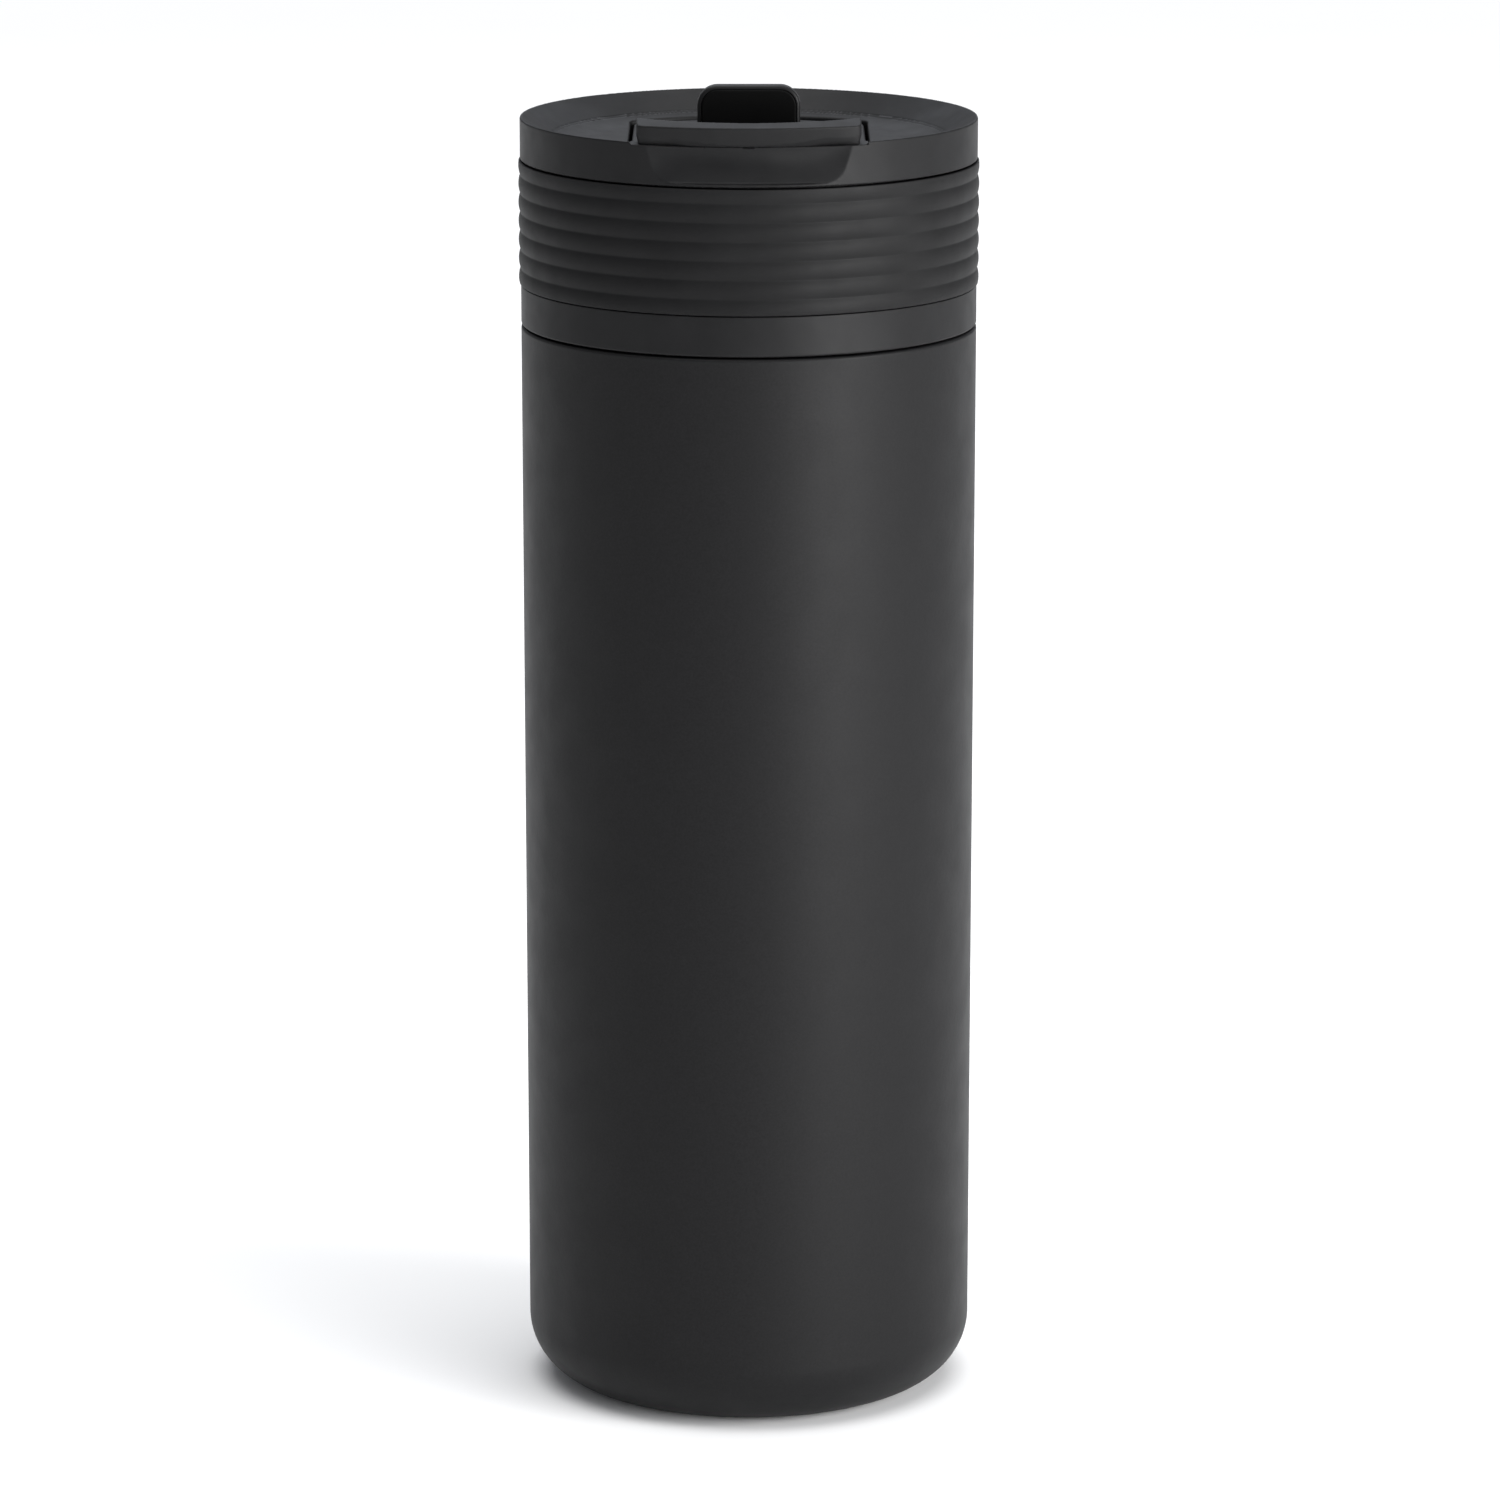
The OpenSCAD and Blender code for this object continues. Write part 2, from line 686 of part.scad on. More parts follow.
// Flip stopper, standing open
module stopper_flap() {
    half_w = flap_w / 2;
    color([0.12, 0.12, 0.12])
        difference() {
            union() {
                flap_slab(half_w, 2.5, flap_reach, flap_corner_r, flap_front_u, flap_back_u);
                translate([-half_w, hinge_y, hinge_z])
                    rotate([90, 0, 90])
                        linear_extrude(flap_w)
                            polygon([[0, 0], [2.1, 0.95], [flap_back_u, 1.5], [flap_back_u, 3],
                                [flap_front_u, 3], [flap_front_u, 2.5], [0, 2.3]]);
                translate([-half_w, hinge_y, hinge_z])
                    rotate([0, 90, 0])
                        cylinder(r = knuckle_r, h = flap_w, $fn = 64);
            }
            flap_slab(half_w - seal_margin + 0.04, seal_v0 - 0.04, flap_reach - seal_margin + 0.04,
                flap_corner_r - seal_margin, flap_front_u - 1, flap_front_u + 0.9);
            translate([-half_w - 1, hinge_y, hinge_z])
                rotate([0, 90, 0])
                    cylinder(r = pin_r + 0.06, h = flap_w + 2, $fn = 48);
        }
}

// Silicone pad in the flap, with a rib that enters the sip hole
module stopper_seal() {
    half_w = flap_w / 2 - seal_margin;
    rib_v = hinge_y - sip_y - 0.6;
    color([0.06, 0.06, 0.06]) {
        flap_slab(half_w, seal_v0, flap_reach - seal_margin, flap_corner_r - seal_margin - 0.04, seal_u,
            flap_front_u + 0.85);
        translate([0, hinge_y + seal_u + eps, hinge_z + rib_v])
            rotate([90, 0, 0])
                linear_extrude(1.2)
                    slot_2d(sip_l, sip_r - 0.9);
    }
}

outer_shell();
outer_base();
base_cap();
vacuum_seal();
getter();
getter_strap();
radiation_foil();
inner_liner();
liner_bottom();
lid_body();
plug_cap();
lid_foam();
plug_gasket();
grip_sleeve();
lid_ring();
spout_insert();
spout_gasket();
vent_valve();
hinge_pin();
stopper_flap();
stopper_seal();
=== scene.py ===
# Insulated travel mug with a ribbed screw lid, a raised sipping lip and a flip stopper standing open.
# The frame is in metres, with +Z up the mug's axis and the sipping side towards -Y.
# Shapes are worked out in millimetres and become metres when their mesh is made.
import json
import math

import bpy
import numpy as np
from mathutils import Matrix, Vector


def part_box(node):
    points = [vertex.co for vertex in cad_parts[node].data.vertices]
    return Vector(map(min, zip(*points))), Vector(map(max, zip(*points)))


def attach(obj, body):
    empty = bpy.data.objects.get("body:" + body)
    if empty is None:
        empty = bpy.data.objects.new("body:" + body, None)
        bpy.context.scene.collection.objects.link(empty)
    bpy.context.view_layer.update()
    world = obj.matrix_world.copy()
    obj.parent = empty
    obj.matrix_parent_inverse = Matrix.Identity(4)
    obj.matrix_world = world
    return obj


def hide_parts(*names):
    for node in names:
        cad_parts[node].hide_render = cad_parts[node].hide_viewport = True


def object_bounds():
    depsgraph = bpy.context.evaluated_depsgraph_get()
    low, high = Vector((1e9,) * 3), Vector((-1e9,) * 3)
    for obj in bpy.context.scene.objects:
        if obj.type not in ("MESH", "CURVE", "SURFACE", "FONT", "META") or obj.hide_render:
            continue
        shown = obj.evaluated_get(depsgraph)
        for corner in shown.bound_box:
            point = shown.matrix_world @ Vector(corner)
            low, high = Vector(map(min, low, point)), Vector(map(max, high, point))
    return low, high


MM = 0.001

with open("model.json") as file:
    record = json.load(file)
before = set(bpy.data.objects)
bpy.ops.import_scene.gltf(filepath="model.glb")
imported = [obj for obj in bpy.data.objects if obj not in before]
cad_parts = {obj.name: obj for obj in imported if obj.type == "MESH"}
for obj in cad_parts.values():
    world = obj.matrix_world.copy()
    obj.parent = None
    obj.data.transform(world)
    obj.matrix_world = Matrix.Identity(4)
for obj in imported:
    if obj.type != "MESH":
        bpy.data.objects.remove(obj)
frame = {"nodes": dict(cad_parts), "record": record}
cad_low, cad_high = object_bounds()


def low(node):
    """Lowest corner of a CAD node, in millimetres."""
    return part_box(node)[0] / MM


def high(node):
    """Highest corner of a CAD node, in millimetres."""
    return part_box(node)[1] / MM


# ---------- Sizes, in millimetres ----------

# Top ring
RIM_FILLET = 0.4
RING_R = high("lid_ring").x
RIM_Z = high("lid_ring").z - RIM_FILLET
SPIGOT_R = 31.8
SPIGOT_T = 0.9
SPIGOT_H = 3
SPIGOT_Z = low("lid_ring").z
RING_BOTTOM_Z = SPIGOT_Z + SPIGOT_H
DISH_Z = RIM_Z - 3.7
DISH_T = 2
DISH_FLOOR_R = 29.5
DISH_FILLET = 1.5
DISH_CREST_ANGLE = 122
CHANNEL_HALF_W = 19.25
CHANNEL_CORNER_R = 0.4
CHANNEL_EDGE_R = 0.33
RING_BORE_R = 32.4
RING_CELL = 0.3

# Sipping lip
LIP_GAP = 0.3
LIP_HALF_W = 18.35
LIP_TOP_HALF_W = 17.45
LIP_LOW_HALF_W = 17.1
LIP_CORNER_R = 2.5
LIP_Z = RIM_Z + 0.03
LIP_FRONT_Z = RIM_Z + 3.05
LIP_BACK_Z = LIP_FRONT_Z + 0.6
LIP_BACK_R = 33.0
LIP_ARC_Y = 8.5
LIP_ARC_R = 44
LIP_UNDERCUT = 0.8
LIP_T = 2.35
LIP_ZONE_Y = -20
NOTCH_Z = RIM_Z + 0.12
SEAT_H = 2
SCOOP_DEPTH = 2.0
SCOOP_TOP_HALF_W = 16.1
SCOOP_LOW_HALF_W = 14.3
SCOOP_FOOT_Z = RING_BOTTOM_Z + 0.5
SCOOP_CORNER_R = 2.2

# Drinking insert
INSERT_HALF_W = CHANNEL_HALF_W - 0.55
INSERT_BOTTOM_Z = DISH_Z - 2.35
TUBE_BOTTOM_Z = low("spout_insert").z
RISER_R = RING_BORE_R - 0.2
RISER_BACK_R = 30.8
LEDGE_X = 20.1
LEDGE_HALF_W = 1.8
LEDGE_HALF_L = 15
LEDGE_T = 1.2
LEDGE_TOP_Z = INSERT_BOTTOM_Z + 0.3
INSERT_HALF_REACH = LEDGE_X + LEDGE_HALF_W
INSERT_CELL = 0.25

# Flip stopper and its hinge
HINGE_Y = (low("hinge_pin").y + high("hinge_pin").y) / 2
HINGE_Z = (low("hinge_pin").z + high("hinge_pin").z) / 2
PIN_R = (high("hinge_pin").z - low("hinge_pin").z) / 2
PIN_HALF_L = high("hinge_pin").x
KNUCKLE_R = HINGE_Z - low("stopper_flap").z
FLAP_HALF_W = high("stopper_flap").x
FLAP_REACH = high("stopper_flap").z - HINGE_Z
FLAP_BACK_U = high("stopper_flap").y - HINGE_Y
FLAP_FRONT_U = 1.15
FLAP_CORNER_R = 3.2
FLAP_ROUND = 0.55
FLAP_CELL = 0.16
SEAL_U = 0.9
SEAL_MARGIN = 0.7
SEAL_V0 = 2.9
SEAL_BACK = 0.85
SEAL_RIB_V = 4.4
SEAL_RIB_R = 1.0
SEAL_RIB_H = 1.2
EAR_INNER = FLAP_HALF_W + 0.25
EAR_OUTER = EAR_INNER + 2.9
SIP_Y = HINGE_Y - 5
SIP_R = 1.9
SIP_L = 6.2
TUBE_WALL = 1.1
VENT_Y = 9
VENT_R = 1
VENT_BOSS_R = 2.5

# Grip sleeve
SLEEVE_BOTTOM_Z = low("grip_sleeve").z
SLEEVE_TOP_Z = high("grip_sleeve").z
SLEEVE_R = 35.0
RIB_PEAK_R = high("grip_sleeve").x - 0.01
RIB_COUNT = 7
RIB_PITCH = 2.985
RIB_RISE = 0.28
RIB_FIRST_Z = SLEEVE_BOTTOM_Z + 1.0

# Vessel
BODY_R = high("outer_shell").x
FOOT_ROUND = 10.3
FOOT_R = 36.2
STAND_R = FOOT_R - FOOT_ROUND
CURL_R = STAND_R - 1.9
SHELL_T = 0.6
SHOULDER_Z = 174.9
NECK_R = 30.2
NECK_TOP_Z = high("outer_shell").z
THREAD_LEAD = 8
THREAD_DEPTH = 1


# ---------- Mesh making ----------


def make_object(name, points, faces, normals):
    """Object from points in millimetres, with a smooth surface that follows the given normals."""
    mesh = bpy.data.meshes.new(name)
    mesh.from_pydata((np.asarray(points) * MM).tolist(), [], np.asarray(faces).tolist())
    mesh.polygons.foreach_set("use_smooth", np.ones(len(mesh.polygons), bool))
    mesh.update()
    mesh.normals_split_custom_set_from_vertices(np.asarray(normals).tolist())
    piece = bpy.data.objects.new(name, mesh)
    bpy.context.scene.collection.objects.link(piece)
    return piece


def meet(a, b, r=0.0):
    """Distance to the solid that a and b share. The edge where they cross is rounded to radius r."""
    past = np.hypot(np.maximum(a + r, 0), np.maximum(b + r, 0))
    return np.minimum(-r, np.maximum(a, b)) + past


def join(a, b, r=0.0):
    """Distance to a and b together. The corner where they cross is filled to radius r."""
    return -meet(-a, -b, r)


def cut(a, b, r=0.0):
    """Distance to what is left of a when b is taken away. The edge of the cut is rounded to radius r."""
    return meet(a, -b, r)


def line(p, q, u, v):
    """Distance of (u, v) from the line through p and q, negative on its left."""
    du, dv = q[0] - p[0], q[1] - p[1]
    return ((u - p[0]) * dv - (v - p[1]) * du) / math.hypot(du, dv)


def slope_of(distance, points, step=0.02):
    """Distance and its gradient at each point."""
    here = distance(*points.T)
    gradient = np.empty_like(points)
    for axis in range(3):
        shift = np.zeros(3)
        shift[axis] = step
        gradient[:, axis] = distance(*(points + shift).T) - distance(*(points - shift).T)
    return here, gradient / (2 * step)


def grid_faces(inside, number):
    """Quads round every grid edge that passes through the surface, facing out of the solid."""
    quads = []
    for axis in range(3):
        u, v = (axis + 1) % 3, (axis + 2) % 3
        near = [slice(1, -1)] * 3
        near[axis] = slice(0, -1)
        far = list(near)
        far[axis] = slice(1, None)
        crosses = inside[tuple(near)] != inside[tuple(far)]
        start = np.argwhere(crosses)
        start[:, u] += 1
        start[:, v] += 1
        quad = []
        for back_u, back_v in ((0, 0), (1, 0), (1, 1), (0, 1)):
            cell = start.copy()
            cell[:, u] -= back_u
            cell[:, v] -= back_v
            quad.append(number[tuple(cell.T)])
        quad = np.stack(quad, 1)
        leaving = inside[tuple(start.T)]
        quads.append(quad[leaving])
        quads.append(quad[~leaving][:, ::-1])
    return np.concatenate(quads)


def solid(name, distance, lowest, highest, cell):
    """Object whose surface is where distance(x, y, z) is zero.
    It has one point in every grid cell that the surface passes through."""
    axes = [np.arange(a - 1.5 * cell, b + 2.5 * cell, cell) for a, b in zip(lowest, highest)]
    value = distance(*np.meshgrid(*axes, indexing="ij", sparse=True))
    inside = value < 0
    cells = tuple(n - 1 for n in inside.shape)

    def at(array, corner):
        return array[tuple(slice(c, c + n) for c, n in zip(corner, cells))]

    corners = [(i, j, k) for i in (0, 1) for j in (0, 1) for k in (0, 1)]
    count = sum(at(inside, c).astype(np.int8) for c in corners)
    mixed = (count > 0) & (count < 8)
    number = np.full(cells, -1)
    number[mixed] = np.arange(mixed.sum())
    middle = np.zeros((mixed.sum(), 3))
    hits = np.zeros(mixed.sum())
    for corner in corners:
        for axis in range(3):
            if corner[axis]:
                continue
            other = tuple(1 if i == axis else c for i, c in enumerate(corner))
            a, b = at(value, corner)[mixed], at(value, other)[mixed]
            crosses = (a < 0) != (b < 0)
            point = np.tile(np.array(corner, float), (len(a), 1))
            point[:, axis] += np.where(crosses, a / np.where(crosses, a - b, 1), 0)
            middle += point * crosses[:, None]
            hits += crosses
    points = (np.argwhere(mixed) + middle / hits[:, None]) * cell + [axis[0] for axis in axes]
    for _ in range(4):
        here, gradient = slope_of(distance, points)
        steep = np.maximum((gradient**2).sum(1), 0.05)
        points -= np.clip(here / steep, -cell / 2, cell / 2)[:, None] * gradient
    gradient = slope_of(distance, points)[1]
    normals = gradient / np.maximum(np.linalg.norm(gradient, axis=1), 1e-6)[:, None]
    return make_object(name, points, grid_faces(inside, number), normals)


def lathe(name, outline, steps=256):
    """Object made by turning a closed outline of (radius, height) points round the mug's axis.
    The outline runs so that the solid is on its left."""
    outline = np.asarray(outline, float)
    run = np.roll(outline, -1, 0) - outline
    side = np.stack([run[:, 1], -run[:, 0]], 1)
    flat = side + np.roll(side, 1, 0)
    flat /= np.linalg.norm(flat, axis=1)[:, None]
    turn = np.arange(steps) * 2 * math.pi / steps
    c, s = np.cos(turn)[:, None], np.sin(turn)[:, None]

    def spun(pairs):
        r, z = pairs[:, 0], pairs[:, 1]
        return np.stack([r * c, r * s, np.broadcast_to(z, (steps, len(z)))], 2).reshape(-1, 3)

    n = len(outline)
    ring, along = np.meshgrid(np.arange(steps), np.arange(n), indexing="ij")
    ring2, along2 = (ring + 1) % steps, (along + 1) % n
    faces = [ring * n + along, ring2 * n + along, ring2 * n + along2, ring * n + along2]
    return make_object(name, spun(outline), np.stack(faces, 2).reshape(-1, 4), spun(flat))


def arc(centre, r, start, end, steps=10):
    """Points (radius, height) along an arc, between two angles in degrees."""
    turn = np.radians(np.linspace(start, end, steps + 1))
    return [(centre[0] + r * math.cos(a), centre[1] + r * math.sin(a)) for a in turn]


def place(piece, body, slot, look, *nodes):
    """Gives a piece its material and its body, and lets it stand for CAD nodes. The slot argument is not
    used.
    """
    piece.data.materials.clear()
    piece.data.materials.append(look)
    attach(piece, body)
    if nodes:
        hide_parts(*nodes)


# ---------- Vessel ----------


def body_wall():
    """Outer wall of the vessel: curled foot, slightly flared body, rounded shoulder and neck."""
    fillet, neck_fillet, curl_top = 0.5, 0.8, 3
    outline = [
        (CURL_R + SHELL_T, curl_top - 0.1), (CURL_R + SHELL_T, SHELL_T + 0.3),
        *arc((CURL_R + SHELL_T + 0.3, SHELL_T + 0.3), 0.3, 180, 270, 5),
        *arc((STAND_R, FOOT_ROUND), FOOT_ROUND - SHELL_T, -90, 0, 32),
        *arc((BODY_R - fillet - SHELL_T, SHOULDER_Z - fillet - SHELL_T), fillet, 0, 90, 6),
        *arc((NECK_R + neck_fillet, SHOULDER_Z + neck_fillet), neck_fillet + SHELL_T, 270, 180, 8),
        (NECK_R - SHELL_T, NECK_TOP_Z), (NECK_R, NECK_TOP_Z),
        *arc((NECK_R + neck_fillet, SHOULDER_Z + neck_fillet), neck_fillet, 180, 270, 8),
        *arc((BODY_R - fillet, SHOULDER_Z - fillet), fillet, 90, 0, 10),
        *arc((STAND_R, FOOT_ROUND), FOOT_ROUND, 0, -90, 40),
        *arc((CURL_R + 0.5, 0.5), 0.5, 270, 180, 6),
        (CURL_R, curl_top - 0.1), *arc((CURL_R + SHELL_T / 2, curl_top - 0.1), SHELL_T / 2, 180, 0, 6)[:-1],
    ]
    return lathe("body_wall", outline[::-1])


def neck_ridge(name, start):
    """One rounded helical ridge of the neck's thread, which fades out at both ends."""
    steps, turns, half_root, half_crest, fade_rate = 200, 0.75, 1.1, 0.5, 8
    start_z = SHOULDER_Z + 7.2
    section = np.linspace(0, 1, 13)
    points = []
    for i in range(steps + 1):
        t = i / steps
        fade = min(1.0, fade_rate * t, fade_rate * (1 - t))
        fade = fade * fade * (3 - 2 * fade)
        angle = math.radians(start + 360 * turns * t)
        middle = start_z + THREAD_LEAD * turns * t
        for share in section:
            across = 2 * share - 1
            rise = np.clip((1 - abs(across)) * half_root / (half_root - half_crest), 0, 1)
            r = NECK_R - 0.1 + (THREAD_DEPTH + 0.1) * fade * rise * rise * (3 - 2 * rise)
            z = middle + across * half_root * (0.5 + 0.5 * fade)
            points.append((r * math.cos(angle), r * math.sin(angle), z))
    points = np.array(points)
    grid = points.reshape(steps + 1, len(section), 3)
    normals = np.cross(np.gradient(grid, axis=0), np.gradient(grid, axis=1)).reshape(-1, 3)
    normals /= np.maximum(np.linalg.norm(normals, axis=1), 1e-9)[:, None]
    n = len(section)
    faces = [
        (i * n + j, (i + 1) * n + j, (i + 1) * n + j + 1, i * n + j + 1)
        for i in range(steps) for j in range(n - 1)
    ]
    return make_object(name, points, faces, normals)


# ---------- Grip sleeve ----------


def rib_radius(z):
    """Radius of the ribbed face: each rib is a shallow arch, and the grooves between them are soft."""
    soft = 0.03
    off = (z - RIB_FIRST_Z + RIB_PITCH / 2) % RIB_PITCH - RIB_PITCH / 2
    near, far = abs(off), RIB_PITCH - abs(off)
    drop_near, drop_far = (RIB_RISE * (d / (RIB_PITCH / 2)) ** 2 for d in (near, far))
    last_z = RIB_FIRST_Z + (RIB_COUNT - 1) * RIB_PITCH
    if z < RIB_FIRST_Z or z > last_z:
        return RIB_PEAK_R - RIB_RISE * ((z - np.clip(z, RIB_FIRST_Z, last_z)) / (RIB_PITCH / 2)) ** 2
    return RIB_PEAK_R - (drop_near + drop_far - math.hypot(drop_near - drop_far, soft)) / 2


def grip_ribs():
    """Ribbed rubber sleeve with softly rounded ends."""
    round_r, step = 0.15, 0.12
    heights = np.arange(SLEEVE_BOTTOM_Z + round_r, SLEEVE_TOP_Z - round_r, step)
    low_r = rib_radius(heights[0]) - round_r
    high_r = rib_radius(heights[-1]) - round_r
    outline = [
        (SLEEVE_R, SLEEVE_BOTTOM_Z),
        *arc((low_r, SLEEVE_BOTTOM_Z + round_r), round_r, -90, -12, 5),
        *[(rib_radius(z), z) for z in heights],
        *arc((high_r, SLEEVE_TOP_Z - round_r), round_r, 12, 90, 5),
        (SLEEVE_R, SLEEVE_TOP_Z),
    ]
    return lathe("grip_ribs", outline)


# ---------- Top ring ----------


def lip_outline(x, y):
    """Distance to the lip's outline seen from above: straight sides and round outer corners."""
    corner_x = LIP_HALF_W - LIP_CORNER_R
    corner_y = -math.sqrt((RING_R - LIP_CORNER_R) ** 2 - corner_x**2)
    across = abs(x)
    strip = np.maximum(across - LIP_HALF_W, corner_y - y)
    corner = np.hypot(across - corner_x, y - corner_y) - LIP_CORNER_R
    sector = (across * -corner_y + y * corner_x) / math.hypot(corner_x, corner_y)
    return np.minimum(np.minimum(strip, corner), sector)


def channel_reach(r, y, front_r, back_r):
    """Distance past the end of the straight channel, which is longer on the sipping side."""
    return r - np.where(y < 0, front_r, back_r)


def scoop(x, y, z, r):
    """Distance to the hollow under the lip that the drinker's lower lip rests in.
    It is widest at the rim, has round lower corners, and runs out at its flanks in one broad curve."""
    foot_share, swell, swell_angle, flank_power = 0.3, 0.75, 120, 3.5
    above_foot = z - SCOOP_FOOT_Z
    t = np.clip(above_foot / (RIM_Z - SCOOP_FOOT_Z), 0, 1)
    half_w = SCOOP_LOW_HALF_W + (SCOOP_TOP_HALF_W - SCOOP_LOW_HALF_W) * t
    left = SCOOP_CORNER_R - np.clip(above_foot, 0, SCOOP_CORNER_R)
    half_w = half_w - SCOOP_CORNER_R + np.sqrt(SCOOP_CORNER_R**2 - left**2)
    depth = SCOOP_DEPTH * (foot_share + swell * np.sin(np.radians(swell_angle * t)))
    depth = depth * (1 - (abs(x) / half_w) ** flank_power)
    return np.maximum(meet(RING_R - depth - r, -above_foot, 0.3), y)


def ring_distance(x, y, z):
    """Distance to the dished top ring."""
    r = np.hypot(x, y)
    wall = np.maximum(meet(r - RING_R, RING_BOTTOM_Z - z, 0.2), SPIGOT_R - 0.4 - r)
    spigot = np.maximum(np.abs(r - SPIGOT_R + SPIGOT_T / 2) - SPIGOT_T / 2, SPIGOT_Z - z)
    plate = np.maximum(r - SPIGOT_R + 0.5, DISH_Z - DISH_T - z)
    body = np.minimum(np.minimum(wall, spigot), plate)
    turn = math.radians(DISH_CREST_ANGLE)
    crest = (RING_R - RIM_FILLET + RIM_FILLET * math.cos(turn), RIM_Z + RIM_FILLET * math.sin(turn))
    dish = meet(DISH_Z - z, line((DISH_FLOOR_R, DISH_Z), crest, r, z), DISH_FILLET)
    body = cut(body, dish, RIM_FILLET)
    seat = np.maximum(lip_outline(x, y) - LIP_GAP, np.maximum(r - RING_R, RING_BORE_R - r))
    seat = np.maximum(seat, np.abs(z - NOTCH_Z + SEAT_H / 2) - SEAT_H / 2)
    body = np.minimum(body, np.maximum(seat, y - LIP_ZONE_Y))
    reach = channel_reach(r, y, RING_BORE_R, DISH_FLOOR_R)
    channel = meet(abs(x) - CHANNEL_HALF_W, reach, CHANNEL_CORNER_R)
    body = cut(body, channel, CHANNEL_EDGE_R)
    notch = np.maximum(meet(lip_outline(x, y) - LIP_GAP, NOTCH_Z - z), y - LIP_ZONE_Y)
    body = cut(body, notch, 0.12)
    return cut(body, scoop(x, y, z, r), 0.1)


def dished_ring():
    """Dished top ring with the channel, the lip's seat and the scoop."""
    lowest = (-RING_R, -RING_R, SPIGOT_Z)
    highest = (RING_R, RING_R, RIM_Z + RIM_FILLET)
    return solid("dished_ring", ring_distance, lowest, highest, RING_CELL)


# ---------- Drinking insert ----------


def sip_slot(x, y, r):
    """Distance to the outline of the sip hole, grown to radius r."""
    return np.hypot(np.maximum(abs(x) - SIP_L / 2, 0), y - SIP_Y) - r


def lip_distance(x, y, z, r):
    """Distance to the sipping lip and the riser behind it."""
    t = np.clip((z - LIP_Z) / (LIP_FRONT_Z - LIP_Z), 0, 1)
    arc_r = np.hypot(x, y - LIP_ARC_Y)
    full_half_w, fade_w, end_share = 11, 6.5, 0.35
    over_scoop = 1 - np.clip((abs(x) - full_half_w) / fade_w, 0, 1)
    smooth = over_scoop * over_scoop * (3 - 2 * over_scoop)
    under_t = (1 - t) * (end_share + (1 - end_share) * smooth)
    face = arc_r - LIP_ARC_R + LIP_UNDERCUT * under_t
    front = np.maximum(face, r - RING_R + (SCOOP_DEPTH - 0.1) * under_t)
    slope = (LIP_BACK_Z - LIP_FRONT_Z) / LIP_T
    top = (z - LIP_FRONT_Z - slope * (LIP_ARC_R - arc_r)) / math.hypot(1, slope)
    back = meet(line((LIP_BACK_R, LIP_BACK_Z), (RISER_BACK_R, RIM_Z), r, z), RISER_BACK_R - r, 1.5)
    under = np.maximum(INSERT_BOTTOM_Z - z, np.minimum(r - RISER_R, LIP_Z - z))
    half_w = LIP_LOW_HALF_W + (LIP_TOP_HALF_W - LIP_LOW_HALF_W) * np.clip(2 * t, 0, 1)
    end = meet(lip_outline(x, y), abs(x) - half_w, 1.0)
    bar = meet(meet(front, top, 0.22), back, 0.25)
    bar = meet(bar, end, 0.3)
    return np.maximum(meet(bar, under, 0.08), y - LIP_ZONE_Y)


def insert_distance(x, y, z):
    """Distance to the drinking insert."""
    r = np.hypot(x, y)
    reach = channel_reach(r, y, RISER_R, DISH_FLOOR_R - 0.4)
    plate = meet(meet(abs(x) - INSERT_HALF_W, reach), z - DISH_Z, CHANNEL_EDGE_R)
    plate = np.maximum(plate, INSERT_BOTTOM_Z - z)
    ledge = np.maximum(np.abs(abs(x) - LEDGE_X) - LEDGE_HALF_W, np.abs(y) - LEDGE_HALF_L)
    ledge = np.maximum(ledge, np.abs(z - LEDGE_TOP_Z + LEDGE_T / 2) - LEDGE_T / 2)
    body = np.minimum(join(plate, lip_distance(x, y, z, r), 0.5), ledge)
    tube = np.maximum(sip_slot(x, y, SIP_R + TUBE_WALL), TUBE_BOTTOM_Z - z)
    boss = np.maximum(np.hypot(x, y - VENT_Y) - VENT_BOSS_R, TUBE_BOTTOM_Z + 0.1 - z)
    posts = np.maximum(np.minimum(tube, boss), z - DISH_Z + 1)
    body = join(body, posts, 0.3)
    from_pin = np.hypot(y - HINGE_Y, z - HINGE_Z)
    block_half_l = block_h = 3.6
    under_pin = np.abs(z - HINGE_Z + block_h / 2) - block_h / 2
    block = np.maximum(np.abs(y - HINGE_Y) - block_half_l, under_pin)
    ears = meet(np.minimum(from_pin - KNUCKLE_R, block), abs(x) - EAR_OUTER, 0.3)
    body = join(body, ears, 0.25)
    body = cut(body, np.maximum(from_pin - KNUCKLE_R - 0.35, abs(x) - EAR_INNER), 0.2)
    bore = np.maximum(-PIN_HALF_L - 0.02 - x, x - EAR_OUTER - 0.1)
    body = cut(body, np.maximum(from_pin - PIN_R - 0.02, bore), 0.1)
    body = cut(body, sip_slot(x, y, SIP_R), 0.3)
    return cut(body, np.hypot(x, y - VENT_Y) - VENT_R, 0.2)


def drinking_insert():
    """Channel plate with the sipping lip, sip tube, vent boss and the hinge's ears."""
    lowest = (-INSERT_HALF_REACH, -RING_R, TUBE_BOTTOM_Z)
    highest = (INSERT_HALF_REACH, DISH_FLOOR_R, LIP_BACK_Z + 0.4)
    return solid("drinking_insert", insert_distance, lowest, highest, INSERT_CELL)


# ---------- Flip stopper ----------


def flap_outline(x, v, margin, v0):
    """Distance to the flap's outline seen from the front, with round top corners."""
    across = abs(x) - FLAP_HALF_W + margin
    return np.maximum(meet(across, v - FLAP_REACH + margin, FLAP_CORNER_R - margin), v0 - v)


